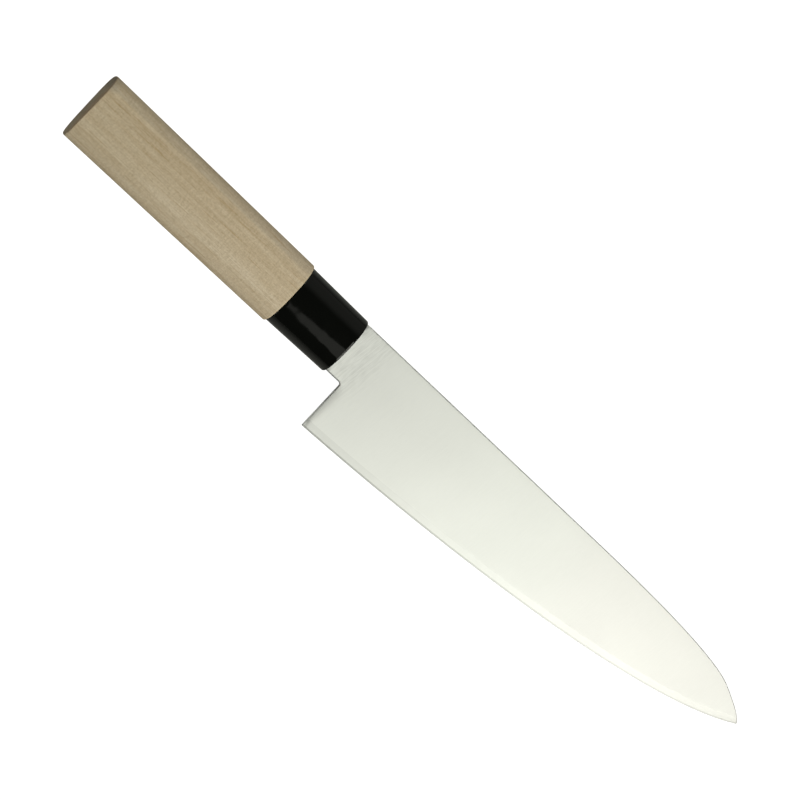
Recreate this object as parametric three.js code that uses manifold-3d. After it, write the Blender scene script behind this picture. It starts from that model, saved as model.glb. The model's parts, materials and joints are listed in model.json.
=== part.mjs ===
// A Japanese cook's knife (gyuto): a three-layer blade whose tang is bedded in an oval wooden handle.
// Millimetres. In the knife's own frame x runs from the ferrule's front face to the tip, y to the spine
// and z out of the right face. At the end the knife is laid down on its left side, on the plane z = 0.

import * as THREE from "three";
import { mergeVertices } from "three/addons/utils/BufferGeometryUtils.js";
import Module from "manifold-3d";

// Blade outline
const BLADE_LENGTH = 180; // heel to tip
const HEEL_HEIGHT = 38.8; // spine to edge at the heel
const TIP_DROP = 2; // tip below the handle's axis
const SPINE_STRAIGHT = 102.3; // heel to where the spine starts to fall
const NOSE_TURN_BACK = 23.3; // where the spine's two tangents meet, behind the tip
const NOSE_BEND_BACK = 12.1; // soft bend in the nose, behind the tip
const NOSE_BEND_RISE = 7.4; // and above it
const NOSE_REACH = 12; // pull of the bend's tangent on the last stretch
const HEEL_FLAT = 13.2; // pull of the flat heel on the edge's curve
const HEEL_LIFT = 0.23;
const BELLY_BACK = 37.9; // pull of the tip on the edge's curve, behind the tip
const BELLY_DROP = 21.8; // and below it
const NECK_LENGTH = 7.35; // ferrule to heel
const NECK_INSET = 0.7; // neck inside the ferrule's front edge, at spine and underside
const CHOIL_RADIUS = 0.9; // inner corner between neck and heel

// Blade thickness and layers
const SPINE_THICKNESS = 1.9; // at the ferrule, and all along the tang
const TIP_THICKNESS = 0.9; // where the spine's even taper would end at the tip
const CORE_THICKNESS = 0.6; // hard layer in the middle
const EDGE_THICKNESS = 0.24; // just above the sharpened bevel
const BEVEL_HEIGHT = 0.6; // sharpened bevel
const CORE_LINE_HEIGHT = 2.9; // edge to where the grind leaves the core and enters the outer layers
const GRIND_HEIGHT = 24; // edge to where the curved grind runs out into the flat

// Tang
const TANG_LENGTH = 84;
const TANG_HEIGHT = 12; // at the shoulders
const TANG_END_HEIGHT = 8; // width of the half-round end

// Ferrule
const FERRULE_LENGTH = 25.65;
const FERRULE_REAR_HEIGHT = 22.8;
const FERRULE_REAR_THICKNESS = 18.8;
const FERRULE_FRONT_HEIGHT = 21.9;
const FERRULE_FRONT_THICKNESS = 17.7;
const FERRULE_FULLNESS = 2.4; // 2 is an ellipse, and more is squarer
const FERRULE_WALL = 2.2;
const FERRULE_FRONT_WALL = 4;
const FERRULE_FRONT_ROUND = 0.6;
const FERRULE_REAR_ROUND = 0.2;

// Wood
const WOOD_LENGTH = 88.5;
const WOOD_STEP = 0.65; // wood proud of the ferrule all round
const BUTT_HEIGHT = 25.45;
const BUTT_THICKNESS = 21;
const BUTT_FULLNESS = 3.4;
const BUTT_SWELL = 0.15; // thicker at the spine side and thinner at the other, as a share
const BUTT_ROUND = 0.5;
const WOOD_FRONT_ROUND = 0.45;
const MORTISE_SPARE = 3; // mortise deeper than the tang

// Clearances
const BOND_GAP = 0.02; // between steel layers
const SEAM_GAP = 0.05; // between wood and ferrule, end to end
const TENON_CLEARANCE = 0.1; // tenon in the ferrule's bore, all round
const TENON_END_GAP = 0.3;
const SHOULDER_GAP = 0.1; // blade's shoulders off the ferrule's face
const SLOT_CLEARANCE = 0.6; // mortise round the tang, filled by the bedding
const BEDDING_GAP = 0.05; // bedding to tang, wood and ferrule

// How the knife comes to rest on a table, in degrees
const LYING_ROLL = 7.19; // spine side up
const LYING_PITCH = 2.64; // nose down

// Fineness of the surface
const OVAL_STEPS = 48;
const HANDLE_STEPS = 8;
const ROUND_STEPS = 4;
const CURVE_STEPS = 24;
const EDGE_STEPS = 40;
const GRIND_STEPS = 8;
const CUT_SPARE = 2; // how far a cut runs past what it cuts

// Places that follow from the sizes
const spineY = FERRULE_FRONT_HEIGHT / 2 - NECK_INSET;
const neckY = -spineY;
const heel = new THREE.Vector2(NECK_LENGTH, spineY - HEEL_HEIGHT);
const tip = new THREE.Vector2(NECK_LENGTH + BLADE_LENGTH, -TIP_DROP);
const handleBack = -(FERRULE_LENGTH + WOOD_LENGTH);

const wasm = await Module();
wasm.setup();

// A closed geometry as a solid that can be joined and cut.
function solid(geometry) {
  const bare = geometry.clone();
  bare.deleteAttribute("normal");
  bare.deleteAttribute("uv");
  const merged = mergeVertices(bare);
  return new wasm.Manifold(
    new wasm.Mesh({
      numProp: 3,
      vertProperties: merged.getAttribute("position").array,
      triVerts: new Uint32Array(merged.getIndex().array),
    }),
  );
}

// A solid's surface as a named mesh.
function piece(name, shape, material) {
  const surface = shape.getMesh();
  const geometry = new THREE.BufferGeometry();
  geometry.setAttribute("position", new THREE.BufferAttribute(surface.vertProperties, 3));
  geometry.setIndex(new THREE.BufferAttribute(surface.triVerts, 1));
  geometry.computeVertexNormals();
  const mesh = new THREE.Mesh(geometry, material);
  mesh.name = name;
  return mesh;
}

// A flat outline given thickness between two heights.
function plate(outline, low, high) {
  const options = { depth: high - low, bevelEnabled: false, curveSegments: CURVE_STEPS };
  return solid(new THREE.ExtrudeGeometry(outline, options).translate(0, 0, low));
}

// A closed surface through convex rings of points, which follow each other along x and turn from y to z.
function loft(rings) {
  const points = rings.flat();
  const count = rings[0].length;
  const last = points.length - count;
  const faces = [];
  for (let start = 0; start < last; start += count) {
    for (let k = 0; k < count; k++) {
      const a = start + k;
      const b = start + ((k + 1) % count);
      faces.push(a, b, b + count);
      faces.push(a, b + count, a + count);
    }
  }
  for (let k = 1; k < count - 1; k++) {
    faces.push(0, k + 1, k);
    faces.push(last, last + k, last + k + 1);
  }
  return solid(new THREE.BufferGeometry().setFromPoints(points).setIndex(faces));
}

// The ring of points round an oval section square to the handle's axis.
function oval({ x, height, thickness, fullness, swell }) {
  const bulge = (wave) => Math.sign(wave) * Math.abs(wave) ** (2 / fullness);
  return Array.from({ length: OVAL_STEPS }, (_, k) => {
    const angle = (2 * Math.PI * k) / OVAL_STEPS;
    const rise = bulge(Math.cos(angle));
    const out = bulge(Math.sin(angle)) * (1 + swell * rise);
    return new THREE.Vector3(x, (rise * height) / 2, (out * thickness) / 2);
  });
}

// The section a given share of the way from one section to another.
function between(from, to, share) {
  const sizes = Object.keys(from);
  return Object.fromEntries(sizes.map((size) => [size, THREE.MathUtils.lerp(from[size], to[size], share)]));
}

// A section moved along x and drawn in all round.
function drawnIn(section, shift, inset) {
  return {
    ...section,
    x: section.x + shift,
    height: section.height - 2 * inset,
    thickness: section.thickness - 2 * inset,
  };
}

// The sections that round off a rim, from the flat end face to the full size, with inward along x.
function roundedRim(end, radius, inward) {
  return Array.from({ length: ROUND_STEPS + 1 }, (_, k) => {
    const angle = (k / ROUND_STEPS) * (Math.PI / 2);
    return drawnIn(end, inward * radius * (1 - Math.cos(angle)), radius * (1 - Math.sin(angle)));
  });
}

// A tapered oval body with rounded rims.
function ovalBody(rear, front, rearRound, frontRound) {
  const sections = roundedRim(rear, rearRound, 1);
  for (let k = 1; k < HANDLE_STEPS; k++) {
    sections.push(between(rear, front, k / HANDLE_STEPS));
  }
  sections.push(...roundedRim(front, frontRound, -1).reverse());
  return loft(sections.map(oval));
}

// The stamped outline of blade and tang, with stock left below the edge for grinding.
function blankOutline() {
  const stockY = heel.y - CUT_SPARE;
  const turn = new THREE.Vector2(tip.x - NOSE_TURN_BACK, spineY);
  const bend = new THREE.Vector2(tip.x - NOSE_BEND_BACK, tip.y + NOSE_BEND_RISE);
  const pull = bend.clone().sub(turn).setLength(NOSE_REACH).add(bend);
  const outline = new THREE.Shape();
  outline.moveTo(SHOULDER_GAP, neckY);
  outline.lineTo(heel.x - CHOIL_RADIUS, neckY);
  outline.absarc(heel.x - CHOIL_RADIUS, neckY - CHOIL_RADIUS, CHOIL_RADIUS, Math.PI / 2, 0, true);
  outline.lineTo(heel.x, stockY);
  outline.lineTo(tip.x, stockY);
  outline.lineTo(tip.x, tip.y);
  outline.quadraticCurveTo(pull.x, pull.y, bend.x, bend.y);
  outline.quadraticCurveTo(turn.x, turn.y, heel.x + SPINE_STRAIGHT, spineY);
  outline.lineTo(SHOULDER_GAP, spineY);
  outline.lineTo(SHOULDER_GAP, tangHalf(SHOULDER_GAP));
  drawTang(outline, SHOULDER_GAP, 0, 0);
  return outline;
}

// Half the tang's height at a place along it.
function tangHalf(x) {
  const share = -x / (TANG_LENGTH - TANG_END_HEIGHT / 2);
  return THREE.MathUtils.lerp(TANG_HEIGHT, TANG_END_HEIGHT, share) / 2;
}

// The tang's tapered sides and half-round end, drawn on from its upper root to its lower one.
function drawTang(outline, front, grow, deeper) {
  const endX = TANG_END_HEIGHT / 2 - TANG_LENGTH - deeper;
  const end = tangHalf(endX) + grow;
  outline.lineTo(endX, end);
  outline.absarc(endX, 0, end, Math.PI / 2, 1.5 * Math.PI, false);
  outline.lineTo(front, -tangHalf(front) - grow);
}

// A plate that holds the tang with room to spare all round, from a front face back past the tang's end.
function tangRoom(front, grow, deeper) {
  const outline = new THREE.Shape();
  outline.moveTo(front, tangHalf(front) + grow);
  drawTang(outline, front, grow, deeper);
  const half = SPINE_THICKNESS / 2 + grow;
  return plate(outline, -half, half);
}

// Half the thickness of the blade's flats: even along the tang, and an even taper from ferrule to tip.
function halfFlat(x) {
  const share = Math.max(0, x / tip.x);
  return THREE.MathUtils.lerp(SPINE_THICKNESS, TIP_THICKNESS, share) / 2;
}

// The blade's section at one place: sharpened bevel, bare core, curved grind that runs out tangent, and flat
// up past the spine.
function groundSection(x, edgeY) {
  const flat = halfFlat(x);
  const profile = [[edgeY + BEVEL_HEIGHT, EDGE_THICKNESS / 2]];
  for (let k = 0; k <= GRIND_STEPS; k++) {
    const share = k / GRIND_STEPS;
    const y = edgeY + THREE.MathUtils.lerp(CORE_LINE_HEIGHT, GRIND_HEIGHT, share);
    const swell = 1 - (1 - share) ** 2;
    profile.push([y, THREE.MathUtils.lerp(CORE_THICKNESS / 2, flat, swell)]);
  }
  profile.push([edgeY + GRIND_HEIGHT + HEEL_HEIGHT, flat]);
  const left = profile.map(([y, z]) => new THREE.Vector3(x, y, -z));
  const right = profile.map(([y, z]) => new THREE.Vector3(x, y, z)).reverse();
  return [new THREE.Vector3(x, edgeY, 0), ...left, ...right];
}

// What grinding leaves of the stock: the edge's curve with its section lofted along it.
function groundBody() {
  const belly = new THREE.CubicBezierCurve(
    heel,
    new THREE.Vector2(heel.x + HEEL_FLAT, heel.y + HEEL_LIFT),
    new THREE.Vector2(tip.x - BELLY_BACK, tip.y - BELLY_DROP),
    tip,
  );
  const past = belly.getTangent(1).setLength(CUT_SPARE).add(tip);
  const places = [
    new THREE.Vector2(-TANG_LENGTH - CUT_SPARE, heel.y),
    new THREE.Vector2(0, heel.y),
    ...belly.getPoints(EDGE_STEPS),
    past,
  ];
  return loft(places.map((place) => groundSection(place.x, place.y)));
}

const ferruleRear = {
  x: -FERRULE_LENGTH,
  height: FERRULE_REAR_HEIGHT,
  thickness: FERRULE_REAR_THICKNESS,
  fullness: FERRULE_FULLNESS,
  swell: 0,
};
const ferruleFront = {
  x: 0,
  height: FERRULE_FRONT_HEIGHT,
  thickness: FERRULE_FRONT_THICKNESS,
  fullness: FERRULE_FULLNESS,
  swell: 0,
};

// A body that follows the ferrule's taper inside its wall, from one x to another.
function insideFerrule(fromX, toX, inset) {
  const at = (x) => between(ferruleRear, ferruleFront, 1 + x / FERRULE_LENGTH);
  return loft([fromX, toX].map((x) => oval(drawnIn(at(x), 0, inset))));
}

function ferruleSolid() {
  const outside = ovalBody(ferruleRear, ferruleFront, FERRULE_REAR_ROUND, FERRULE_FRONT_ROUND);
  const bore = insideFerrule(-FERRULE_LENGTH - CUT_SPARE, -FERRULE_FRONT_WALL, FERRULE_WALL);
  const slot = tangRoom(CUT_SPARE, SLOT_CLEARANCE, MORTISE_SPARE);
  return outside.subtract(bore).subtract(slot);
}

function woodSolid() {
  const butt = {
    x: handleBack,
    height: BUTT_HEIGHT,
    thickness: BUTT_THICKNESS,
    fullness: BUTT_FULLNESS,
    swell: BUTT_SWELL,
  };
  const front = drawnIn(ferruleRear, -SEAM_GAP, -WOOD_STEP);
  const body = ovalBody(butt, front, BUTT_ROUND, WOOD_FRONT_ROUND);
  const tenon = insideFerrule(
    -FERRULE_LENGTH - CUT_SPARE,
    -FERRULE_FRONT_WALL - TENON_END_GAP,
    FERRULE_WALL + TENON_CLEARANCE,
  );
  const mortise = tangRoom(CUT_SPARE, SLOT_CLEARANCE, MORTISE_SPARE);
  return body.add(tenon).subtract(mortise);
}

function beddingSolid() {
  const filling = tangRoom(0, SLOT_CLEARANCE - BEDDING_GAP, MORTISE_SPARE - BEDDING_GAP);
  return filling.subtract(tangRoom(CUT_SPARE, BEDDING_GAP, 0));
}

const blank = blankOutline();
const ground = groundBody();
const coreFace = CORE_THICKNESS / 2;
const coreSolid = plate(blank, -coreFace, coreFace).intersect(ground);
const rightLayer = plate(blank, coreFace + BOND_GAP, SPINE_THICKNESS).intersect(ground);
const leftLayer = plate(blank, -SPINE_THICKNESS, -coreFace - BOND_GAP).intersect(ground);

const coreSteel = new THREE.MeshStandardMaterial({ color: 0xd6d8d4, roughness: 0.22, metalness: 1 });
const softSteel = new THREE.MeshStandardMaterial({ color: 0xc6c8c3, roughness: 0.34, metalness: 1 });
const blackResin = new THREE.MeshStandardMaterial({ color: 0x121214, roughness: 0.16, metalness: 0 });
const magnolia = new THREE.MeshStandardMaterial({ color: 0xb0a290, roughness: 0.62, metalness: 0 });
const clearResin = new THREE.MeshStandardMaterial({ color: 0x6b5a3c, roughness: 0.35, metalness: 0 });

const knife = new THREE.Group();
knife.add(
  piece("core_steel", coreSolid, coreSteel),
  piece("cladding_right", rightLayer, softSteel),
  piece("cladding_left", leftLayer, softSteel),
  piece("ferrule", ferruleSolid(), blackResin),
  piece("handle_wood", woodSolid(), magnolia),
  piece("tang_bedding", beddingSolid(), clearResin),
);

// Laid down with its lowest point on the table and its middle over the origin.
knife.rotation.set(THREE.MathUtils.degToRad(LYING_ROLL), THREE.MathUtils.degToRad(LYING_PITCH), 0);
const box = new THREE.Box3().setFromObject(knife, true);
const middle = box.getCenter(new THREE.Vector3());
knife.position.set(-middle.x, -middle.y, -box.min.z);

const part = new THREE.Group();
part.add(knife);

export default part;
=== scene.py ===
"""Looks for a Japanese cook's knife that lies on its left side on a pale table.

Every mesh is drawn in the knife's own frame, in millimetres: x runs from the ferrule's front face to
the tip, y to the spine and z out of the right face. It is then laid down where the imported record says
that the knife lies.
"""

import json
import math

import bmesh
import bpy
import numpy as np
from mathutils import Matrix, Vector
from mathutils.geometry import delaunay_2d_cdt


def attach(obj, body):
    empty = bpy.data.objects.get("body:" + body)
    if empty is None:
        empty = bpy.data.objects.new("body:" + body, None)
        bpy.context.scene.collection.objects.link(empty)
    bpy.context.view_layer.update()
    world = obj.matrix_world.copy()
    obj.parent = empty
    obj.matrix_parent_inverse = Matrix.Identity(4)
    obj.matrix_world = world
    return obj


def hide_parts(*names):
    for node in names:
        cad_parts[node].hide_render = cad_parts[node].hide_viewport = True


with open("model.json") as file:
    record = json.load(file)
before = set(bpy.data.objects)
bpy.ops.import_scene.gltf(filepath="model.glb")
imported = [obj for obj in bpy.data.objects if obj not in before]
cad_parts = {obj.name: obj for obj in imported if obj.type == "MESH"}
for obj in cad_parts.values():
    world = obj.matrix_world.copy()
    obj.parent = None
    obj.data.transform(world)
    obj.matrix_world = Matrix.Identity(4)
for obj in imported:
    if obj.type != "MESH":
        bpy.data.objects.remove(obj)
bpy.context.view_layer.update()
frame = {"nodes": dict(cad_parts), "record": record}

MM = 0.001

# Blade outline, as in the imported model
BLADE_LENGTH = 180
HEEL_HEIGHT = 38.8
TIP_DROP = 2
SPINE_STRAIGHT = 102.3
NOSE_TURN_BACK = 23.3
NOSE_BEND_BACK = 12.1
NOSE_BEND_RISE = 7.4
NOSE_REACH = 12
HEEL_FLAT = 13.2
HEEL_LIFT = 0.23
BELLY_BACK = 37.9
BELLY_DROP = 21.8
NECK_LENGTH = 7.35
NECK_INSET = 0.7
CHOIL_RADIUS = 0.9
SHOULDER_GAP = 0.1

# Blade section and layers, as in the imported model
SPINE_THICKNESS = 1.9
TIP_THICKNESS = 0.9
CORE_THICKNESS = 0.6
EDGE_THICKNESS = 0.24
BEVEL_HEIGHT = 0.6
CORE_LINE_HEIGHT = 2.9
GRIND_HEIGHT = 24
TANG_LENGTH = 84
TANG_HEIGHT = 12
TANG_END_HEIGHT = 8

# Ferrule and wood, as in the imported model
FERRULE_LENGTH = 25.65
FERRULE_REAR_HEIGHT = 22.8
FERRULE_REAR_THICKNESS = 18.8
FERRULE_FRONT_HEIGHT = 21.9
FERRULE_FRONT_THICKNESS = 17.7
FERRULE_FULLNESS = 2.4
FERRULE_WALL = 2.2
FERRULE_FRONT_WALL = 4
FERRULE_FRONT_ROUND = 0.6
FERRULE_REAR_ROUND = 0.2
WOOD_LENGTH = 88.5
WOOD_STEP = 0.65
BUTT_HEIGHT = 25.45
BUTT_THICKNESS = 21
BUTT_FULLNESS = 3.4
BUTT_SWELL = 0.15
BUTT_ROUND = 0.5
WOOD_FRONT_ROUND = 0.45
MORTISE_SPARE = 3
SEAM_GAP = 0.05
TENON_CLEARANCE = 0.1
TENON_END_GAP = 0.3
SLOT_CLEARANCE = 0.6

# What only the smooth meshes have
EASED_SHARE = 0.4  # corners of spine, neck and choil rubbed round, by this share of half the thickness
NECK_RUBBED = 0.3  # taken off the neck's underside
SOFT_DROP = 0.02  # flats fall away by this much towards their rims
SOFT_REACH = 3
CHOIL_DROP = 0.26  # and by this much towards the choil
CHOIL_REACH = ((-25, 2.2), (-12, 6))  # how far in, at two heights
CHOIL_CURVE = 2.75  # power of that fall
CHOIL_FADE = 3  # it starts over this height, below the neck
MOST_RUBBED = 0.6  # no more than this share of half the thickness is rubbed off
CHOIL_COLUMNS = (0.15, 0.35, 0.6, 0.85, 1.1, 1.6, 2.2, 3, 4, 5.3)  # points on the faces beside it
LAYER_LIP = 0.002  # least thickness of the outer layer, along the core line
BOND_LINE = 0.004  # between the steel layers
POLISHED_OFF = 0.003  # taken off each face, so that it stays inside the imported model's box
CURVE_SPACING = 1.0  # between points along the blade's outline
GRID_SPACING = 2.5  # between points on the blade's faces
SKIN = 0.045  # smooth ovals drawn in by this much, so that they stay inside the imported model's box
BELLY_STEPS = 400
NOSE_STEPS = (24, 60)  # ahead of its bend and behind it
TANG_STEPS = 12
OVAL_STEPS = 144
BODY_STEPS = 24
ROUND_STEPS = 8
BUTT_INSETS = (9, 7, 5, 3, 1.6)  # rings on the butt's end face
MORTISE_ANGLES = (25, 45, 60, 75, 85)  # rings on the mortise's round end
COLUMN_GAP = 1.5  # from the columns beside the choil to the next one
RIM_GAP = 0.12  # least distance of a face's points from the outline
RIM_STEPS = (0.04, 0.13, 0.26, 0.45, 0.7)  # rows of points in from a rubbed outline
CORE_RIM_START = 1.2  # the hard layer's outline is rubbed from this height over the edge
RIM_SPARE = 1.5  # they keep this many times the widest rim step away from a rubbed outline
RIM_KEPT = 0.97  # rim points nearer to the outline than this share of their step are left out
SLACK = 0.01  # heights closer than this count as the same
THINNEST = 0.0001  # thinner than this, both faces share their points
MERGED = 0.00001  # points closer than this become one
NEVER_ZERO = 1e-9
SHARP_ANGLE = 35  # corners sharper than this stay sharp, in degrees

# Steel's finish
CLADDING_COLOUR = (0.678, 0.678, 0.678)
CORE_COLOUR = (0.62, 0.62, 0.62)
STEEL_ROUGHNESS = 0.51
FINE_LINES = (4.0, 0.05, 0.3)  # lines of the abrasive for each millimetre along, up and out
BROAD_LINES = (1.7, 0.27, 0.1)
LINE_LEAN = 0.12  # how far they lean to the tip, for each millimetre up
LINE_RANGE = (0.35, 0.65)  # noise that makes a line, from full to none
NECK_LINES = 0.16  # share of the light that they take at the neck
NECK_LINES_ALONG = (6, 19)  # they fade off over this part of the blade
NECK_LINES_UP = (-18, -4)  # and over these heights, down to a share
NECK_LINES_LOW = 0.3
NECK_PAINTED_LIGHT = 1.09  # painted light: the neck is paler by this, fading off over a reach
NECK_LIGHT_REACH = 18
HEEL_LIGHT_TINT = (1, 1.011, 1.002)  # painted tint of the light: cooler at the heel and warmer at the tip
TIP_LIGHT_TINT = (1, 0.99, 0.99)
LIGHT_TINT_TURN = (83, 131)
EDGE_SHADE_WIDTH = 0.6  # painted shade along the outline's corners
EDGE_SHADE_LEVEL = 0.5
EDGE_SHADE_HEIGHTS = (1, 8)  # on the choil the painted shade fades off between these heights over the heel
GLOSS_SWING = 0.005  # steel's roughness differs by this, either way
SHARPENED_ROUGHNESS = 0.46
SHARPENED_PAINTED_SHADES = (0.58, 0.72)  # painted shade on the sharpened bevel, at the heel and at the tip
SHARPENED_BLUR = 0.03  # of the bevel's upper border, either way

# Wood's finish
GRAIN = {  # marks for each millimetre along, up and out, and their detail
    "bands": ((0.006, 0.24, 0.2), 1),
    "growth": ((0.012, 0.95, 0.8), 2),
    "fibres": ((0.06, 3.4, 3.4), 3),
    "pores": ((0.5, 4.2, 4.2), 1),
    "flecks": ((1.5, 0.4, 0.4), 2),
    "lines": ((0.06, 2.6, 2.6), 1),
    "mottle": ((1.7, 2.2, 2.2), 2),
}
GRAIN_SEED = 3
BAND_COLOURS = ((0.788, 0.658, 0.495, 1), (0.889, 0.767, 0.613, 1))
STAINS = (  # noise that shows none and all of a mark, and the share of the colour that it leaves
    ("growth", (0.65, 0.35), (0.935, 0.91, 0.87)),
    ("fibres", (0.7, 0.3), (0.9, 0.87, 0.81)),
    ("flecks", (0.65, 0.35), (0.925, 0.915, 0.9)),
    ("mottle", (0.65, 0.35), (0.88, 0.855, 0.805)),
    ("lines", (0.61, 0.7), (0.88, 0.81, 0.71)),
    ("pores", (0.59, 0.68), (0.88, 0.85, 0.8)),
)
RIM_HIGHLIGHT_GAPS = (0.7, 0.4)  # painted highlight on the wood's rim, behind the ferrule's rear
RIM_HIGHLIGHT_TINT = (1.12, 1.12, 1.1)
BUTT_SHADE_START = 10  # painted shade: the wood turns darker and browner from here behind the ferrule to the butt
BUTT_SHADE_TINT = (0.93, 0.92, 0.88)
SPINE_SIDE_SHADE_HEIGHTS = (8.0, 9.2)  # painted shade: greyer above these heights, on the spine's side
SPINE_SIDE_SHADE_TINT = (0.86, 0.865, 0.88)
BUTT_CORNER_REACH = (1, 3.5)  # darker corner, ahead of the butt's end
BUTT_CORNER_HEIGHTS = (6.5, 8.5)
BUTT_CORNER_TINT = (0.84, 0.85, 0.87)
END_DEPTH = (0.15, 0.4)  # end grain shows up to here ahead of the butt's end
END_TINTS = ((0.625, 0.64, 0.67), (0.715, 0.64, 0.62))  # low on the butt and high on it
END_TURN = (8, 13)
END_PATCHES = 12.0  # how unevenly one turns into the other
RING_PITCH = 2.6  # between growth rings on the end grain
RING_MIDDLE = (0, -15, -13)  # the tree's middle, outside the handle
RING_BENDS = 5.0
RING_TINT = (0.87, 0.85, 0.83)

# Light and room
LIGHT_COLOUR = (1, 1.008, 0.91)
ROOM_DARK = 0.02
ROOM_PALE = 0.175
ROOM_TURN = (0.46, 0.8)  # from dark to pale, as the rise of a direction to the spine's side
TABLE_HALF = 3.0  # in metres
TABLE_LIGHT_POOL = ((0.38, 0.38, 0.37, 1), (0.12, 0.12, 0.116, 1))  # painted pool of light on the table: paler by the knife and darker away from it
TABLE_POOL_TURN = (15, 120)

# Photograph's viewpoint
VIEW_TARGET = (25.634, -0.499, 0)  # point of the knife at the picture's middle
VIEW_TILT = 12.4  # camera leaning to the butt, in degrees
VIEW_TURN = 43.5  # knife's axis below the picture's level, in degrees
AXIS_TURN = -0.125
VIEW_DISTANCE = 1100
LENS = 151
SENSOR = 36

spine_y = FERRULE_FRONT_HEIGHT / 2 - NECK_INSET
neck_y = NECK_RUBBED - spine_y
heel = np.array((NECK_LENGTH, spine_y - HEEL_HEIGHT))
tip = np.array((NECK_LENGTH + BLADE_LENGTH, -TIP_DROP))
handle_back = -(FERRULE_LENGTH + WOOD_LENGTH)


def lying_frame(mounts):
    """The knife's own frame where it lies, in metres, from the blade's flats and the butt's end."""
    along = -Vector(mounts["butt_end"]["axis"])
    out = (Vector(mounts["right_flat"]["axis"]) - Vector(mounts["left_flat"]["axis"])).normalized()
    up = out.cross(along)
    middle = Vector(mounts["butt_end"]["pos_m"]) - along * handle_back * MM
    return Matrix.Translation(middle) @ Matrix((along, up, out)).transposed().to_4x4()


lying = lying_frame({mount["name"]: mount for mount in frame["record"]["mounts"]})


def laid(points):
    """Points of the knife's own frame, in millimetres, laid down on the table in metres."""
    turn = np.array(lying.to_3x3())
    return np.asarray(points) * MM @ turn.T + np.array(lying.translation)


def bezier(pulls, steps):
    """Points along the Bezier curve of these control points."""
    share = np.linspace(0, 1, steps + 1)[:, None]
    degree = len(pulls) - 1
    weights = [math.comb(degree, k) * share**k * (1 - share) ** (degree - k) for k in range(degree + 1)]
    return sum(weight * np.array(pull) for weight, pull in zip(weights, pulls))


def arc(middle, radius, start, end, steps):
    """Points along a circular arc, with its angles in degrees."""
    angle = np.radians(np.linspace(start, end, steps + 1))
    return np.array(middle) + radius * np.column_stack((np.cos(angle), np.sin(angle)))


belly = bezier((heel, heel + (HEEL_FLAT, HEEL_LIFT), tip - (BELLY_BACK, BELLY_DROP), tip), BELLY_STEPS)


def edge_y(x):
    """Height of the cutting edge, which behind the heel counts as level."""
    return np.interp(x, belly[:, 0], belly[:, 1])


def nose():
    """The fall of the spine, from the tip back to where the spine is straight."""
    turn = np.array((tip[0] - NOSE_TURN_BACK, spine_y))
    bend = tip + (-NOSE_BEND_BACK, NOSE_BEND_RISE)
    fall = bend - turn
    pull = bend + fall / np.linalg.norm(fall) * NOSE_REACH
    straight = (heel[0] + SPINE_STRAIGHT, spine_y)
    ahead = bezier((tip, pull, bend), NOSE_STEPS[0])
    behind = bezier((bend, turn, straight), NOSE_STEPS[1])
    return np.vstack((ahead, behind[1:]))


def tang_half(x):
    """Half the tang's height, which falls off to its end."""
    share = -x / (TANG_LENGTH - TANG_END_HEIGHT / 2)
    return (TANG_HEIGHT + (TANG_END_HEIGHT - TANG_HEIGHT) * share) / 2


def layer_outline(low_rise):
    """A steel layer's outline, down to a line that runs this far above the cutting edge."""
    fall = nose()
    rise = fall[:, 1] - edge_y(fall[:, 0])
    end_x = np.interp(low_rise, rise, fall[:, 0])
    low_x = np.linspace(heel[0], end_x, int(BLADE_LENGTH / CURVE_SPACING))
    top_x = np.linspace(heel[0] + SPINE_STRAIGHT, SHOULDER_GAP, int(SPINE_STRAIGHT / CURVE_SPACING))[1:]
    tang_end = TANG_END_HEIGHT / 2 - TANG_LENGTH
    corner = (heel[0] - CHOIL_RADIUS, neck_y - CHOIL_RADIUS)
    neck_x = np.linspace(SHOULDER_GAP, corner[0], int(NECK_LENGTH / CURVE_SPACING))[:-1]
    choil_y = np.linspace(corner[1], heel[1] + low_rise, int(HEEL_HEIGHT / 2 / CURVE_SPACING))[1:-1]
    return np.vstack(
        (
            np.column_stack((neck_x, np.full(len(neck_x), neck_y))),
            arc(corner, CHOIL_RADIUS, 90, 0, ROUND_STEPS),
            np.column_stack((np.full(len(choil_y), heel[0]), choil_y)),
            np.column_stack((low_x, edge_y(low_x) + low_rise)),
            fall[rise > low_rise + SLACK],
            np.column_stack((top_x, np.full(len(top_x), spine_y))),
            (SHOULDER_GAP, tang_half(SHOULDER_GAP)),
            arc((tang_end, 0), tang_half(tang_end), 90, 270, TANG_STEPS),
            (SHOULDER_GAP, -tang_half(SHOULDER_GAP)),
        )
    )


def rim_distance(points, outline, above=None):
    """Distance of points from a closed outline, or from its part above the edge and ahead of the tang."""
    start = outline[None]
    run = np.roll(outline, -1, axis=0)[None] - start
    if above is not None:
        high = outline[:, 1] - edge_y(outline[:, 0]) > above
        ahead = outline[:, 0] > SHOULDER_GAP + SLACK
        kept = (high | np.roll(high, -1)) & (ahead | np.roll(ahead, -1))
        start = start[:, kept]
        run = run[:, kept]
    away = points[:, None] - start
    share = np.clip((away * run).sum(2) / (run * run).sum(2), 0, 1)
    return np.linalg.norm(away - share[..., None] * run, axis=2).min(1)


def inside(points, outline):
    """Which points lie inside a closed outline."""
    ahead = np.roll(outline, -1, axis=0)
    spans = (outline[None, :, 1] > points[:, None, 1]) != (ahead[None, :, 1] > points[:, None, 1])
    rise = ahead[:, 1] - outline[:, 1]
    slope = (ahead[:, 0] - outline[:, 0]) / np.where(rise == 0, 1, rise)
    crossing = outline[:, 0] + (points[:, None, 1] - outline[None, :, 1]) * slope
    return (spans & (points[:, None, 0] < crossing)).sum(1) % 2 == 1


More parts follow.
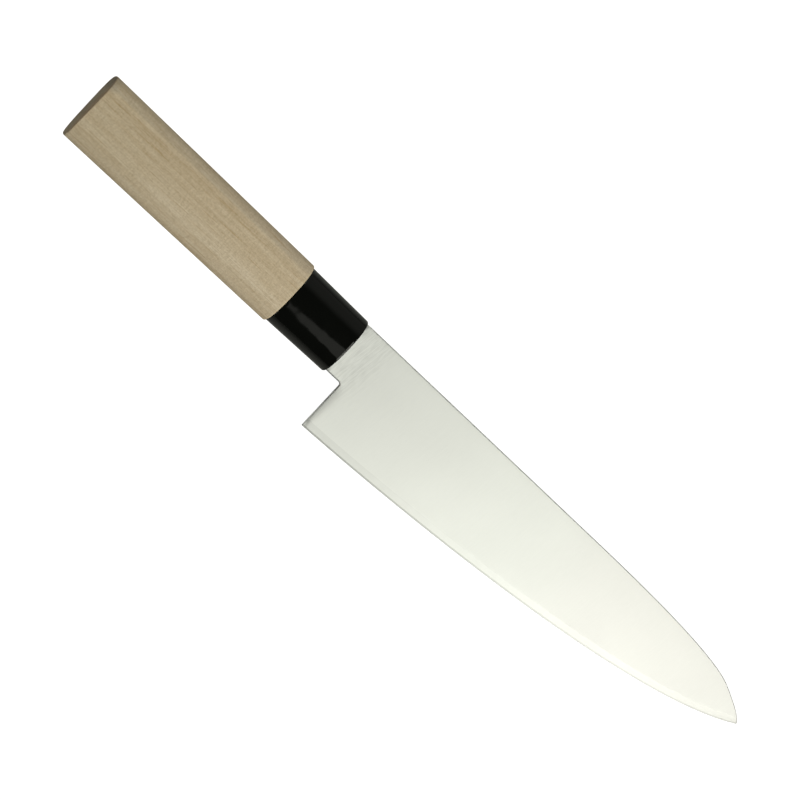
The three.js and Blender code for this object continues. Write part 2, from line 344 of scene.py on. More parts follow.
def face_points(outline, rises, above):
    """Points to lay a layer's faces through: rows along the edge, and rows inside the rubbed outline."""
    behind = np.arange(-TANG_LENGTH, heel[0], GRID_SPACING)
    ahead = np.arange(heel[0] + CHOIL_COLUMNS[-1] + COLUMN_GAP, tip[0], GRID_SPACING)
    x = np.concatenate((behind, heel[0] + np.array(CHOIL_COLUMNS), ahead))
    grid = np.array([(a, edge_y(a) + rise) for a in x for rise in rises])
    grid = grid[inside(grid, outline)]
    low = grid[:, 1] - edge_y(grid[:, 0]) < above
    grid = grid[low | (rim_distance(grid, outline, above) > RIM_SPARE * RIM_STEPS[-1])]
    grid = grid[rim_distance(grid, outline) > RIM_GAP]
    high = outline[:, 1] - edge_y(outline[:, 0]) > above
    before = np.roll(outline, 1, axis=0)
    after = np.roll(outline, -1, axis=0)
    run = after - before
    inward = np.column_stack((run[:, 1], -run[:, 0])) / np.linalg.norm(run, axis=1)[:, None]
    rims = []
    for step in RIM_STEPS:
        rim = (outline - inward * step)[high]
        rims.append(rim[rim_distance(rim, outline) > RIM_KEPT * step])
    rims = np.vstack(rims)
    return np.vstack((grid, rims[inside(rims, outline)]))


def half_flat(x):
    """Half the thickness of the blade's flats."""
    share = np.maximum(0, x / tip[0])
    return (SPINE_THICKNESS + (TIP_THICKNESS - SPINE_THICKNESS) * share) / 2


def ground_half(x, rise):
    """Half the ground blade's thickness, this far above the cutting edge."""
    core = CORE_THICKNESS / 2
    low = np.interp(rise, (0, BEVEL_HEIGHT, CORE_LINE_HEIGHT), (0, EDGE_THICKNESS / 2, core))
    share = np.clip((rise - CORE_LINE_HEIGHT) / (GRIND_HEIGHT - CORE_LINE_HEIGHT), 0, 1)
    return np.where(rise < CORE_LINE_HEIGHT, low, core + (half_flat(x) - core) * (1 - (1 - share) ** 2))


def steel_layer(low_rise, rises, above, faces_at):
    """A closed steel layer: points and faces. faces_at gives its right and left face at each point."""
    outline = layer_outline(low_rise)
    loose = face_points(outline, rises, above)
    flat = [Vector(point) for point in np.vstack((outline, loose))]
    border = list(range(len(outline)))
    made = delaunay_2d_cdt(flat, [], [border], 1, MERGED)
    points = np.array(made[0])
    triangles = np.array(made[2])
    rise = points[:, 1] - edge_y(points[:, 0])
    right, left = faces_at(points, rise, rim_distance(points, outline, low_rise + SLACK))
    count = len(points)
    thin = right - left < THINNEST
    other = np.where(thin, np.arange(count), np.arange(count) + count)
    placed = np.vstack((np.column_stack((points, right)), np.column_stack((points, left))))
    faces = [tuple(triangle) for triangle in triangles]
    faces += [tuple(other[triangle[::-1]]) for triangle in triangles]
    sides = {}
    for triangle in triangles:
        for a, b in zip(triangle, np.roll(triangle, -1)):
            sides[(a, b)] = True
    for a, b in sides:
        if (b, a) not in sides and not (thin[a] and thin[b]):
            faces.append(tuple(dict.fromkeys((b, a, other[a], other[b]))))
    return placed, faces


def eased_drop(points, distance):
    """How far a rubbed corner falls below the face, this far in from the outline."""
    radius = EASED_SHARE * half_flat(points[:, 0])
    reach = np.clip(radius - distance, 0, radius)
    return radius - np.sqrt(radius**2 - reach**2)


def choil_drop(points):
    """How far the face falls away beside the choil: wide under the neck, narrow at the heel."""
    (low, low_reach), (high, high_reach) = CHOIL_REACH
    reach = np.interp(points[:, 1], (low, high), (low_reach, high_reach))
    near = np.clip(1 - (points[:, 0] - heel[0]) / reach, 0, 1) * (points[:, 0] >= heel[0])
    below = np.interp(points[:, 1], (neck_y - CHOIL_FADE, neck_y), (1, 0))
    return CHOIL_DROP * near**CHOIL_CURVE * below


def finished_half(points, rise, distance):
    """Half the ground and rubbed blade's thickness, this far above the edge and in from the rim."""
    ground = ground_half(points[:, 0], rise)
    soft = SOFT_DROP * np.clip(1 - distance / SOFT_REACH, 0, 1) ** 3
    rubbed = eased_drop(points, distance) + soft + choil_drop(points)
    return ground - np.minimum(rubbed, MOST_RUBBED * ground) - np.minimum(POLISHED_OFF, ground / 4)


def core_half(points, rise, distance):
    """Half the hard layer's thickness; above the core line the outer layers cover it."""
    cover = np.where(rise > CORE_LINE_HEIGHT + SLACK, BOND_LINE + LAYER_LIP, 0)
    return np.minimum(finished_half(points, rise, distance) - cover, CORE_THICKNESS / 2 - POLISHED_OFF)


def cladding_faces(points, rise, distance):
    """Outer and inner face of the outer layer on the right of the blade."""
    outer = finished_half(points, rise, distance)
    return outer, np.minimum(core_half(points, rise, distance) + BOND_LINE, outer - LAYER_LIP)


def core_faces(points, rise, distance):
    """Both faces of the hard layer in the middle."""
    half = core_half(points, rise, distance)
    return half, -half


def oval(x, height, thickness, fullness, swell):
    """A ring of points round an oval section square to the handle's axis."""
    angle = np.linspace(0, 2 * np.pi, OVAL_STEPS, endpoint=False)
    rise = np.sign(np.cos(angle)) * np.abs(np.cos(angle)) ** (2 / fullness)
    out = np.sign(np.sin(angle)) * np.abs(np.sin(angle)) ** (2 / fullness) * (1 + swell * rise)
    y = rise * (height / 2 - SKIN)
    z = out * (thickness / 2 - SKIN)
    return np.column_stack((np.full(OVAL_STEPS, x), y, z))


def slot_ring(x, half_height, half_thickness):
    """A ring of points round the tang's slot, with a point on each of its corners."""
    angle = np.linspace(0, 2 * np.pi, OVAL_STEPS, endpoint=False)
    y = np.cos(angle)
    z = np.sin(angle)
    to_rim = half_height / np.maximum(np.abs(y), NEVER_ZERO)
    to_face = half_thickness / np.maximum(np.abs(z), NEVER_ZERO)
    reach = np.minimum(to_rim, to_face)
    ring = np.column_stack((np.full(OVAL_STEPS, x), y * reach, z * reach))
    for side in (1, -1):
        for face in (1, -1):
            corner = np.array((x, side * half_height, face * half_thickness))
            ring[np.linalg.norm(ring - corner, axis=1).argmin()] = corner
    return ring


def drawn_in(section, shift, inset):
    """A section moved along the handle and made smaller all round."""
    x, height, thickness, fullness, swell = section
    return x + shift, height - 2 * inset, thickness - 2 * inset, fullness, swell


def rounded_rim(end, radius, inward):
    """Sections that round off a rim, from the flat end face to the full size."""
    sections = []
    for angle in np.linspace(0, np.pi / 2, ROUND_STEPS + 1):
        shift = inward * radius * (1 - math.cos(angle))
        sections.append(drawn_in(end, shift, radius * (1 - math.sin(angle))))
    return sections


def oval_body(rear, front, rear_round, front_round):
    """Rings along a tapered oval body with rounded rims, from the rear to the front."""
    shares = np.linspace(0, 1, BODY_STEPS + 1)[1:-1]
    along = [tuple(np.array(rear) + (np.array(front) - np.array(rear)) * share) for share in shares]
    sections = rounded_rim(rear, rear_round, 1) + along + rounded_rim(front, front_round, -1)[::-1]
    return [oval(*section) for section in sections]


ferrule_rear = (-FERRULE_LENGTH, FERRULE_REAR_HEIGHT, FERRULE_REAR_THICKNESS, FERRULE_FULLNESS, 0)
ferrule_front = (0, FERRULE_FRONT_HEIGHT, FERRULE_FRONT_THICKNESS, FERRULE_FULLNESS, 0)


def inside_ferrule(x, inset):
    """A ring that follows the ferrule's taper inside its wall."""
    share = 1 + x / FERRULE_LENGTH
    section = np.array(ferrule_rear) + (np.array(ferrule_front) - np.array(ferrule_rear)) * share
    return oval(*drawn_in(section, 0, inset))


def tang_slot(x):
    """A ring round the slot that clears the tang."""
    return slot_ring(x, tang_half(x) + SLOT_CLEARANCE, SPINE_THICKNESS / 2 + SLOT_CLEARANCE)


def ferrule_rings():
    """Round the collar's outside from the rear to the front, then back through the slot and the bore."""
    rings = oval_body(ferrule_rear, ferrule_front, FERRULE_REAR_ROUND, FERRULE_FRONT_ROUND)
    rings += [tang_slot(0), tang_slot(-FERRULE_FRONT_WALL)]
    rings.append(inside_ferrule(-FERRULE_FRONT_WALL, FERRULE_WALL))
    rings.append(inside_ferrule(-FERRULE_LENGTH, FERRULE_WALL))
    return rings


def wood_rings():
    """From the butt's middle over the outside and the tenon to the bottom of the mortise."""
    butt = (handle_back, BUTT_HEIGHT, BUTT_THICKNESS, BUTT_FULLNESS, BUTT_SWELL)
    front = drawn_in(ferrule_rear, -SEAM_GAP, -WOOD_STEP)
    tenon_wall = FERRULE_WALL + TENON_CLEARANCE
    tenon_front = -FERRULE_FRONT_WALL - TENON_END_GAP
    faced = [oval(*drawn_in(butt, 0, inset)) for inset in BUTT_INSETS]
    rings = faced + oval_body(butt, front, BUTT_ROUND, WOOD_FRONT_ROUND)
    rings += [inside_ferrule(front[0], tenon_wall), inside_ferrule(tenon_front, tenon_wall)]
    mortise_end = TANG_END_HEIGHT / 2 - TANG_LENGTH - MORTISE_SPARE
    rings += [tang_slot(tenon_front), tang_slot(mortise_end)]
    end_half = tang_half(mortise_end) + SLOT_CLEARANCE
    for angle in np.radians(MORTISE_ANGLES):
        x = mortise_end - end_half * math.sin(angle)
        rings.append(slot_ring(x, end_half * math.cos(angle), SPINE_THICKNESS / 2 + SLOT_CLEARANCE))
    return rings


def through_rings(rings, closed):
    """Points and faces of a surface through rings, closed on itself or else with its two ends capped."""
    points = np.vstack(rings)
    faces = []
    spans = len(rings) if closed else len(rings) - 1
    for ring in range(spans):
        start = ring * OVAL_STEPS
        ahead = (ring + 1) % len(rings) * OVAL_STEPS
        for k in range(OVAL_STEPS):
            after = (k + 1) % OVAL_STEPS
            faces.append((start + k, start + after, ahead + after, ahead + k))
    if not closed:
        first = range(OVAL_STEPS)
        last = range(len(points) - OVAL_STEPS, len(points))
        faces += [tuple(first)[::-1], tuple(last)]
    return points, faces


def add(tree, kind, inputs=None, **settings):
    """A new node with its settings, whose inputs each get a value or another node's output."""
    node = tree.nodes.new(kind)
    for key, value in settings.items():
        setattr(node, key, value)
    for key, value in (inputs or {}).items():
        if isinstance(value, bpy.types.NodeSocket):
            tree.links.new(value, node.inputs[key])
        else:
            node.inputs[key].default_value = value
    return node


def reckon(tree, operation, first, second=0.0):
    """One operation on one or two values."""
    return add(tree, "ShaderNodeMath", {0: first, 1: second}, operation=operation).outputs[0]


def spread(tree, value, low, high, to_low=0.0, to_high=1.0):
    """A value's range mapped smoothly to another."""
    inputs = {"Value": value, "From Min": low, "From Max": high, "To Min": to_low, "To Max": to_high}
    return add(tree, "ShaderNodeMapRange", inputs, interpolation_type="SMOOTHSTEP").outputs[0]


def blend(tree, share, first, second, mode="MIX"):
    """Two colours mixed by a share, or the second worked on the first."""
    inputs = {0: share, 6: first, 7: second}
    return add(tree, "ShaderNodeMix", inputs, data_type="RGBA", blend_type=mode).outputs[2]


def stain_or_painted_light(tree, colour, share, tint):
    """A colour multiplied by a tint, on a share of the surface: used for stains and for painted light and
    shade.
    """
    return blend(tree, share, colour, (*tint, 1), "MULTIPLY")


def knife_place(tree):
    """The place on the knife, in millimetres of its own frame."""
    inputs = {
        "Vector": add(tree, "ShaderNodeTexCoord").outputs["Object"],
        "Location": lying.translation,
        "Rotation": lying.to_euler(),
        "Scale": (MM, MM, MM),
    }
    return add(tree, "ShaderNodeMapping", inputs, vector_type="TEXTURE").outputs[0]


def group(name, inputs, outputs):
    """An empty shader node group with named sockets, and its two ends."""
    tree = bpy.data.node_groups.new(name, "ShaderNodeTree")
    for socket, kind in inputs.items():
        tree.interface.new_socket(socket, in_out="INPUT", socket_type=kind)
    for socket, kind in outputs.items():
        tree.interface.new_socket(socket, in_out="OUTPUT", socket_type=kind)
    return tree, tree.nodes.new("NodeGroupInput").outputs, tree.nodes.new("NodeGroupOutput").inputs


def use(tree, made, inputs):
    """Places a node group in a material."""
    return add(tree, "ShaderNodeGroup", inputs, node_tree=made).outputs


def long_streaks():
    """Streaks drawn out along one direction: abrasive lines in steel, fibres in wood."""
    sockets = {"Fineness": "NodeSocketVector"}
    sockets |= dict.fromkeys(("Detail", "Seed", "Lean"), "NodeSocketFloat")
    tree, given, out = group("long_streaks", sockets, {"Streak": "NodeSocketFloat"})
    place = add(tree, "ShaderNodeSeparateXYZ", {0: knife_place(tree)}).outputs
    leant = reckon(tree, "SUBTRACT", place["X"], reckon(tree, "MULTIPLY", place["Y"], given["Lean"]))
    leant = add(tree, "ShaderNodeCombineXYZ", {"X": leant, "Y": place["Y"], "Z": place["Z"]}).outputs[0]
    stretched = add(tree, "ShaderNodeVectorMath", {0: leant, 1: given["Fineness"]}, operation="MULTIPLY")
    noise = add(
        tree,
        "ShaderNodeTexNoise",
        {"Vector": stretched.outputs[0], "W": given["Seed"], "Detail": given["Detail"], "Scale": 1.0},
        noise_dimensions="4D",
    )
    tree.links.new(noise.outputs["Fac"], out["Streak"])
    return tree


def handling():
    """Uneven gloss from hands and cloths."""
    sockets = {"Size": "NodeSocketFloat", "Dull": "NodeSocketFloat", "Bright": "NodeSocketFloat"}
    tree, given, out = group("handling", sockets, {"Roughness": "NodeSocketFloat"})
    fineness = reckon(tree, "DIVIDE", 1.0, given["Size"])
    inputs = {"Vector": knife_place(tree), "Scale": fineness, "Detail": 4.0, "Roughness": 0.6}
    noise = add(tree, "ShaderNodeTexNoise", inputs)
    gloss = spread(tree, noise.outputs["Fac"], 0.3, 0.7, given["Bright"], given["Dull"])
    tree.links.new(gloss, out["Roughness"])
    return tree


def painted_edge_shade():
    """Painted shade along the blade's outline, under the neck and low on the choil."""
    tree, given, out = group("painted_edge_shade", {"Width": "NodeSocketFloat"}, {"Shaded": "NodeSocketFloat"})
    flat = add(tree, "ShaderNodeUVMap", uv_map="along_blade").outputs[0]
    place = add(tree, "ShaderNodeSeparateXYZ", {0: flat}).outputs
    under = reckon(tree, "SUBTRACT", place["Y"], neck_y)
    under = spread(tree, reckon(tree, "DIVIDE", under, given["Width"]), 0.5, 1, 1, 0)
    neck = reckon(tree, "MULTIPLY", under, spread(tree, place["X"], heel[0] - 1, heel[0], 1, 0))
    beside = reckon(tree, "SUBTRACT", place["X"], heel[0])
    beside = spread(tree, reckon(tree, "DIVIDE", beside, given["Width"]), 0.5, 1, 1, 0)
    low, high = (heel[1] + height for height in EDGE_SHADE_HEIGHTS)
    choil = reckon(tree, "MULTIPLY", beside, spread(tree, place["Y"], low, high, 1, 0))
    tree.links.new(reckon(tree, "MAXIMUM", neck, choil), out["Shaded"])
    return tree


def ground_lines_and_light():
    """Tint of the ground steel: lines show most by the neck, with painted light on the neck and a painted
    tint of the light that turns along the blade.
    """
    sockets = dict.fromkeys(("Lines", "Depth"), "NodeSocketFloat")
    tree, given, out = group("ground_lines_and_light", sockets, {"Tint": "NodeSocketColor"})
    place = add(tree, "ShaderNodeSeparateXYZ", {0: knife_place(tree)}).outputs
    near_neck = spread(tree, place["X"], *NECK_LINES_ALONG, 1, 0)
    upper = spread(tree, place["Y"], *NECK_LINES_UP, NECK_LINES_LOW, 1)
    near_neck = reckon(tree, "MULTIPLY", near_neck, upper)
    usual = reckon(tree, "SUBTRACT", 1.0, given["Depth"])
    darkest = spread(tree, near_neck, 0, 1, usual, 1 - NECK_LINES)
    level = spread(tree, given["Lines"], *LINE_RANGE, darkest, 1)
    # painted light on the neck, fading off along the blade
    pale = spread(tree, place["X"], 0, NECK_LIGHT_REACH, NECK_PAINTED_LIGHT, 1)
    shade = reckon(tree, "MULTIPLY", level, pale)
    # painted tint of the light, cooler at the heel and warmer and a little darker at the tip
    hue = blend(tree, spread(tree, place["X"], *LIGHT_TINT_TURN), (*HEEL_LIGHT_TINT, 1), (*TIP_LIGHT_TINT, 1))
    tree.links.new(blend(tree, 1, hue, shade, "MULTIPLY"), out["Tint"])
    return tree


streaks = long_streaks()
handled = handling()
edge_shade_group = painted_edge_shade()
ground = ground_lines_and_light()


def finish(name, colour):
    """A new material, its node tree and its principled shader."""
    material = bpy.data.materials.new(name)
    material.use_nodes = True
    tree = material.node_tree
    tree.nodes.clear()
    shader = add(tree, "ShaderNodeBsdfPrincipled", {"Base Color": (*colour, 1)})
    add(tree, "ShaderNodeOutputMaterial", {"Surface": shader.outputs[0]})
    return material, tree, shader


def satin_steel(name, colour, directed, line_depth, sharpened=False):
    """Stainless steel with fine abrasive lines from spine to edge, with painted shade on the sharpened
    bevel, under the neck and low on the choil, and painted light by the neck.
    """
    material, tree, shader = finish(name, colour)
    shader.inputs["Metallic"].default_value = 1
    shader.inputs["Anisotropic"].default_value = directed
    tangent = add(tree, "ShaderNodeTangent", direction_type="UV_MAP", uv_map="along_blade")
    tree.links.new(tangent.outputs[0], shader.inputs["Tangent"])
    inputs = {"Fineness": FINE_LINES, "Detail": 3.0, "Seed": 1.0, "Lean": LINE_LEAN}
    fine = use(tree, streaks, inputs)["Streak"]
    inputs = {"Fineness": BROAD_LINES, "Detail": 2.0, "Seed": 2.0, "Lean": LINE_LEAN}
    broad = use(tree, streaks, inputs)["Streak"]
    lines = reckon(tree, "MULTIPLY", reckon(tree, "ADD", fine, broad), 0.5)
    tint = use(tree, ground, {"Lines": lines, "Depth": line_depth})["Tint"]
    tinted = blend(tree, 1, (*colour, 1), tint, "MULTIPLY")
    # painted shade along the outline under the neck and low on the choil
    edge_shading = use(tree, edge_shade_group, {"Width": EDGE_SHADE_WIDTH})["Shaded"]
    tinted = stain_or_painted_light(tree, tinted, edge_shading, (EDGE_SHADE_LEVEL, EDGE_SHADE_LEVEL, EDGE_SHADE_LEVEL))
    dull = STEEL_ROUGHNESS + GLOSS_SWING
    inputs = {"Size": 30.0, "Dull": dull, "Bright": STEEL_ROUGHNESS - GLOSS_SWING}
    gloss = use(tree, handled, inputs)["Roughness"]
    if sharpened:
        above = add(tree, "ShaderNodeUVMap", uv_map="above_edge").outputs[0]
        place = add(tree, "ShaderNodeSeparateXYZ", {0: above}).outputs
        low = BEVEL_HEIGHT - SHARPENED_BLUR
        below = spread(tree, place["Y"], low, BEVEL_HEIGHT + SHARPENED_BLUR, 1, 0)
        # painted shade on the sharpened bevel, less of it towards the tip
        shade = spread(tree, place["X"], heel[0], tip[0], *SHARPENED_PAINTED_SHADES)
        tinted = blend(tree, below, tinted, shade, "MULTIPLY")
        gloss = spread(tree, below, 0, 1, gloss, SHARPENED_ROUGHNESS)
    tree.links.new(tinted, shader.inputs["Base Color"])
    tree.links.new(gloss, shader.inputs["Roughness"])
    bump = add(tree, "ShaderNodeBump", {"Strength": 0.05, "Distance": 0.00002, "Height": lines})
    tree.links.new(bump.outputs[0], shader.inputs["Normal"])
    return material


def end_grain(tree, place):
    """The share of its colour that the wood keeps on its end grain, with growth rings."""
    inputs = {"Vector": knife_place(tree), "Scale": 0.4, "Detail": 3.0}
    patches = add(tree, "ShaderNodeTexNoise", inputs).outputs[0]
    height = reckon(tree, "ADD", place["Z"], reckon(tree, "MULTIPLY", patches, END_PATCHES))
    low, high = ((*tint, 1) for tint in END_TINTS)
    kept = blend(tree, spread(tree, height, *END_TURN), low, high)
    inputs = {0: knife_place(tree), 1: RING_MIDDLE}
    away = add(tree, "ShaderNodeVectorMath", inputs, operation="SUBTRACT").outputs[0]
    inputs = {"Vector": away, "Scale": math.pi / 10 / RING_PITCH, "Distortion": RING_BENDS}
    rings = add(tree, "ShaderNodeTexWave", inputs, wave_type="RINGS", rings_direction="X").outputs["Fac"]
    return stain_or_painted_light(tree, kept, spread(tree, rings, 0.4, 1.0), RING_TINT)


def magnolia():
    """Pale straight-grained wood, bare and sanded, darker on its end grain, with painted shade towards the
    butt and on the spine's side and a painted highlight on its front rim.
    """
    material, tree, shader = finish("magnolia", (0.6, 0.49, 0.32))
    place = add(tree, "ShaderNodeSeparateXYZ", {0: knife_place(tree)}).outputs
    grain = {}
    for seed, (mark, (fineness, detail)) in enumerate(GRAIN.items(), GRAIN_SEED):
        inputs = {"Fineness": fineness, "Detail": detail, "Seed": seed}
        grain[mark] = use(tree, streaks, inputs)["Streak"]
    colour = blend(tree, spread(tree, grain["bands"], 0.3, 0.7), *BAND_COLOURS)
    shown = {}
    for mark, (none, full), tint in STAINS:
        shown[mark] = spread(tree, grain[mark], none, full)
        colour = stain_or_painted_light(tree, colour, shown[mark], tint)
    # painted highlight along the wood's front rim
    behind, ahead = (-FERRULE_LENGTH - gap for gap in RIM_HIGHLIGHT_GAPS)
    colour = stain_or_painted_light(tree, colour, spread(tree, place["X"], behind, ahead), RIM_HIGHLIGHT_TINT)
    # painted shade, darker and browner towards the butt
    butt_shade = spread(tree, place["X"], handle_back, -FERRULE_LENGTH - BUTT_SHADE_START, 1, 0)
    colour = stain_or_painted_light(tree, colour, butt_shade, BUTT_SHADE_TINT)
    # painted shade on the spine's side of the handle
    colour = stain_or_painted_light(tree, colour, spread(tree, place["Y"], *SPINE_SIDE_SHADE_HEIGHTS), SPINE_SIDE_SHADE_TINT)
    # darker at the butt's upper corner
    behind, ahead = (handle_back + reach for reach in BUTT_CORNER_REACH)
    dark_corner = spread(tree, place["X"], behind, ahead, 1, 0)
    dark_corner = reckon(tree, "MULTIPLY", dark_corner, spread(tree, place["Y"], *BUTT_CORNER_HEIGHTS))
    colour = stain_or_painted_light(tree, colour, dark_corner, BUTT_CORNER_TINT)
    behind, ahead = (handle_back + depth for depth in END_DEPTH)
    ends = spread(tree, place["X"], behind, ahead, 1, 0)
    colour = blend(tree, ends, colour, end_grain(tree, place), "MULTIPLY")
    tree.links.new(colour, shader.inputs["Base Color"])
    gloss = use(tree, handled, {"Size": 12.0, "Dull": 0.72, "Bright": 0.6})["Roughness"]
    tree.links.new(gloss, shader.inputs["Roughness"])
    height = reckon(tree, "SUBTRACT", reckon(tree, "MULTIPLY", grain["fibres"], 0.5), shown["pores"])
    bump = add(tree, "ShaderNodeBump", {"Strength": 0.2, "Distance": 0.00004, "Height": height})
    tree.links.new(bump.outputs[0], shader.inputs["Normal"])
    return material


def black_resin():
    """Moulded and buffed black resin, not quite even."""
    material, tree, shader = finish("black_resin", (0.0031, 0.0035, 0.0029))
    shader.inputs["IOR"].default_value = 1.5
    gloss = use(tree, handled, {"Size": 6.0, "Dull": 0.1, "Bright": 0.06})["Roughness"]
    tree.links.new(gloss, shader.inputs["Roughness"])
    waves = add(tree, "ShaderNodeTexNoise", {"Vector": knife_place(tree), "Scale": 0.16, "Detail": 1.0})
    inputs = {"Strength": 1.0, "Distance": 0.00007, "Height": waves.outputs["Fac"]}
    bump = add(tree, "ShaderNodeBump", inputs)
    tree.links.new(bump.outputs[0], shader.inputs["Normal"])
    return material


def bedding_resin():
    """Amber resin that seals the tang in the ferrule's mouth."""
    material, tree, shader = finish("bedding_resin", (0.05, 0.03, 0.015))
    gloss = use(tree, handled, {"Size": 2.0, "Dull": 0.4, "Bright": 0.25})["Roughness"]
    tree.links.new(gloss, shader.inputs["Roughness"])
    return material


def make_piece(name, node, slot, material, points, faces):
    """A closed mesh laid down on the table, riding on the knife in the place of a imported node."""
    mesh = bpy.data.meshes.new(name)
    mesh.from_pydata(laid(points), [], [tuple(int(k) for k in face) for face in faces])
    shaped = bmesh.new()
    shaped.from_mesh(mesh)
    bmesh.ops.delete(shaped, geom=[v for v in shaped.verts if not v.link_faces], context="VERTS")
    bmesh.ops.recalc_face_normals(shaped, faces=shaped.faces)
    shaped.to_mesh(mesh)
    shaped.free()
    mesh.shade_smooth()
    mesh.set_sharp_from_angle(angle=math.radians(SHARP_ANGLE))
    mesh.materials.append(material)
    piece = bpy.data.objects.new(name, mesh)
    bpy.context.scene.collection.objects.link(piece)
    weighted = piece.modifiers.new("even_normals", "WEIGHTED_NORMAL")
    weighted.keep_sharp = True
    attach(piece, "root")
    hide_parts(node)
    return piece


def knife_points(mesh):
    """A mesh's points, back in millimetres of the knife's own frame."""
    back = lying.inverted()
    return np.array([back @ vertex.co for vertex in mesh.vertices]) / MM


def along_blade(piece):
    """Flat maps of the blade's side: one for the way that it runs, one for the height over its edge."""
    mesh = piece.data
    flat = mesh.uv_layers.new(name="along_blade")
    above = mesh.uv_layers.new(name="above_edge")
    places = knife_points(mesh)
    rises = places[:, 1] - edge_y(places[:, 0])
    for loop in mesh.loops:
        vertex = loop.vertex_index
        flat.data[loop.index].uv = places[vertex, :2]
        above.data[loop.index].uv = (places[vertex, 0], rises[vertex])


def crease(piece, rise):
    """Marks the line this far above the cutting edge as a sharp corner."""
    mesh = piece.data
    places = knife_points(mesh)
    on_line = np.abs(places[:, 1] - edge_y(places[:, 0]) - rise) < SLACK
    for side in mesh.edges:
        if on_line[list(side.vertices)].all():
            side.use_edge_sharp = True


def blade():
    """The three steel layers."""
    soft = satin_steel("cladding_steel", CLADDING_COLOUR, directed=0.52, line_depth=0.018)
    hard = satin_steel("core_steel", CORE_COLOUR, directed=0.05, line_depth=0.02, sharpened=True)
    rows = np.concatenate(((3.4, 4.2), np.arange(5.5, 39, 1.8)))
    rubbed = CORE_LINE_HEIGHT + SLACK
    points, faces = steel_layer(CORE_LINE_HEIGHT, rows, rubbed, cladding_faces)
    right = make_piece("right_cladding", "cladding_right", "cladding_steel", soft, points, faces)
    mirrored = points * (1, 1, -1)
    left = make_piece("left_cladding", "cladding_left", "cladding_steel", soft, mirrored, faces)
    edge_rows = (0.3, 0.6, 0.9, 1.4, 2.1, 2.9, 3.4, 4.2, 5.5, 8, 14, 20, 26, 32)
    points, faces = steel_layer(0, edge_rows, CORE_RIM_START, core_faces)
    middle = make_piece("hard_core", "core_steel", "core_steel", hard, points, faces)
    crease(middle, BEVEL_HEIGHT)
    for layer in (right, left, middle):
        along_blade(layer)


def handle():
    """The collar, the wood and the bedding's finish."""
    make_piece("collar", "ferrule", "black_resin", black_resin(), *through_rings(ferrule_rings(), True))
    make_piece("wood", "handle_wood", "magnolia_wood", magnolia(), *through_rings(wood_rings(), False))
    bedding = frame["nodes"]["tang_bedding"]
    bedding.data.materials.clear()
    bedding.data.materials.append(bedding_resin())


def softbox(name, place, aim, size, radiance, shape="RECTANGLE", spin=0.0):
    """A soft light at a place of the knife's own frame, with its first side along the knife."""
    light = bpy.data.lights.new(name, "AREA")
    light.shape = shape
    light.size = size[0] * MM
    light.size_y = size[1] * MM
    filled = math.pi / 4 if shape == "ELLIPSE" else 1
    light.color = LIGHT_COLOUR
    light.energy = radiance * math.pi * filled * light.size * light.size_y
    stand = Vector(laid([place])[0])
    back = (stand - Vector(laid([aim])[0])).normalized()
    along = lying.col[0].to_3d()
    side = (along - back * along.dot(back)).normalized()
    facing = Matrix((side, back.cross(side), back)).transposed().to_4x4()
    lamp = bpy.data.objects.new(name, light)
    lamp.matrix_world = Matrix.Translation(stand) @ facing @ Matrix.Rotation(math.radians(spin), 4, "Z")
    lamp.visible_camera = False
    bpy.context.scene.collection.objects.link(lamp)


def room():
    """A room that is quiet overhead and paler past the spine."""
    world = bpy.data.worlds.new("room")
    world.use_nodes = True
    tree = world.node_tree
    tree.nodes.clear()
    way = add(tree, "ShaderNodeTexCoord").outputs["Generated"]
    inputs = {0: way, 1: lying.col[1].to_3d()}
    across = add(tree, "ShaderNodeVectorMath", inputs, operation="DOT_PRODUCT").outputs["Value"]
    level = spread(tree, across, *ROOM_TURN, ROOM_DARK, ROOM_PALE)
    seen = add(tree, "ShaderNodeLightPath").outputs["Is Camera Ray"]
    strength = spread(tree, seen, 0, 1, level, 1.0)
    colour = blend(tree, seen, (*LIGHT_COLOUR, 1), (1, 1, 1, 1))
    backdrop = add(tree, "ShaderNodeBackground", {"Color": colour, "Strength": strength})
    add(tree, "ShaderNodeOutputWorld", {"Surface": backdrop.outputs[0]})
    bpy.context.scene.world = world


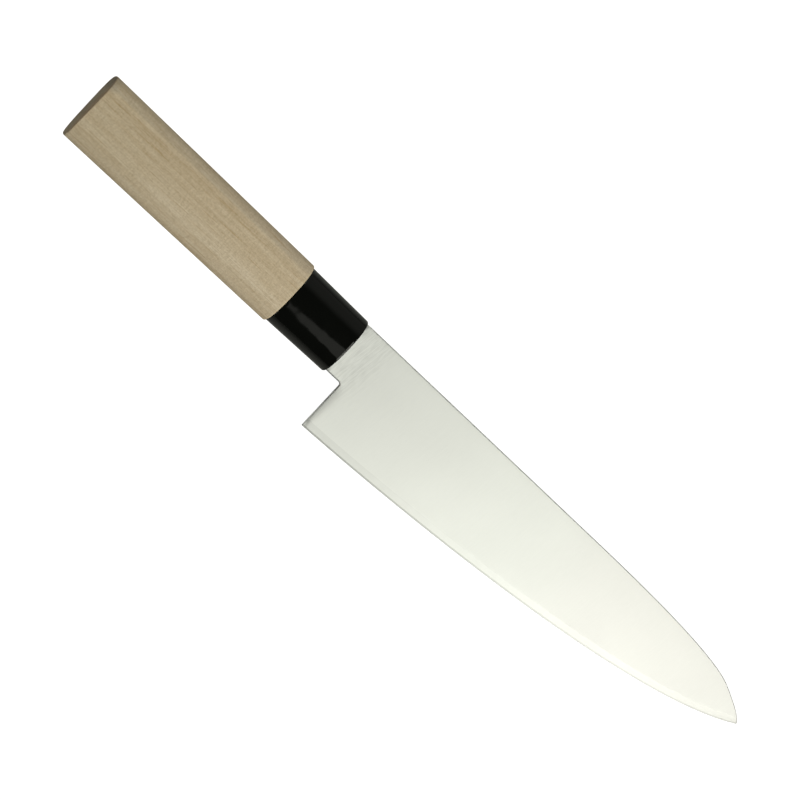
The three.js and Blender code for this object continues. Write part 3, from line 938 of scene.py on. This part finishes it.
def studio():
    """Pale table, soft lights and a quiet room."""
    scene = bpy.context.scene
    scene.view_settings.view_transform = "Standard"
    softbox("nose_light", place=(309, -95, 495), aim=(47, -10, 0), size=(208, 500), radiance=5.72)
    softbox("spine_light", place=(-40, 500, 360), aim=(-60, 0, 0), size=(100, 400), radiance=6.4)
    softbox("edge_light", place=(-40, -545, 290), aim=(-60, 0, 0), size=(100, 400), radiance=6.3)
    softbox("butt_light", place=(-600, 250, 70), aim=(-114, 0, 0), size=(250, 140), radiance=6.2)
    shape = {"shape": "ELLIPSE", "spin": 4}
    softbox("streak_light", place=(147, -150, 500), aim=(-13, 0, 0), size=(120, 270), radiance=0.4, **shape)
    room()
    table, tree, shader = finish("pale_table", (0.3, 0.3, 0.29))
    shader.inputs["Roughness"].default_value = 0.9
    across = add(tree, "ShaderNodeSeparateXYZ", {0: knife_place(tree)}).outputs["Y"]
    away = reckon(tree, "ABSOLUTE", across)
    # painted pool of light: the table is paler by the knife
    shade = blend(tree, spread(tree, away, *TABLE_POOL_TURN), *TABLE_LIGHT_POOL)
    tree.links.new(shade, shader.inputs["Base Color"])
    seen = add(tree, "ShaderNodeLightPath").outputs["Is Camera Ray"]
    tree.links.new(seen, shader.inputs["Emission Strength"])
    shader.inputs["Emission Color"].default_value = (1, 1, 1, 1)
    mesh = bpy.data.meshes.new("table")
    corners = [(x * TABLE_HALF, y * TABLE_HALF, 0) for x, y in ((-1, -1), (1, -1), (1, 1), (-1, 1))]
    mesh.from_pydata(corners, [], [(0, 1, 2, 3)])
    mesh.materials.append(table)
    floor = bpy.data.objects.new("table", mesh)
    scene.collection.objects.link(floor)


def camera():
    """The photograph's viewpoint."""
    seen = bpy.data.cameras.new("photograph")
    seen.lens = LENS
    seen.sensor_width = SENSOR
    seen.clip_end = 100
    eye = bpy.data.objects.new("photograph", seen)
    turn = Matrix.Rotation(math.radians(AXIS_TURN), 4, "Z")
    turn = turn @ Matrix.Rotation(math.radians(-VIEW_TILT), 4, "Y")
    turn = turn @ Matrix.Rotation(math.radians(VIEW_TURN), 4, "Z")
    target = lying @ Matrix.Translation(Vector(VIEW_TARGET) * MM)
    eye.matrix_world = target @ turn @ Matrix.Translation((0, 0, VIEW_DISTANCE * MM))
    bpy.context.scene.collection.objects.link(eye)
    bpy.context.scene.camera = eye


camera()
blade()
handle()
studio()

bpy.context.view_layer.update()
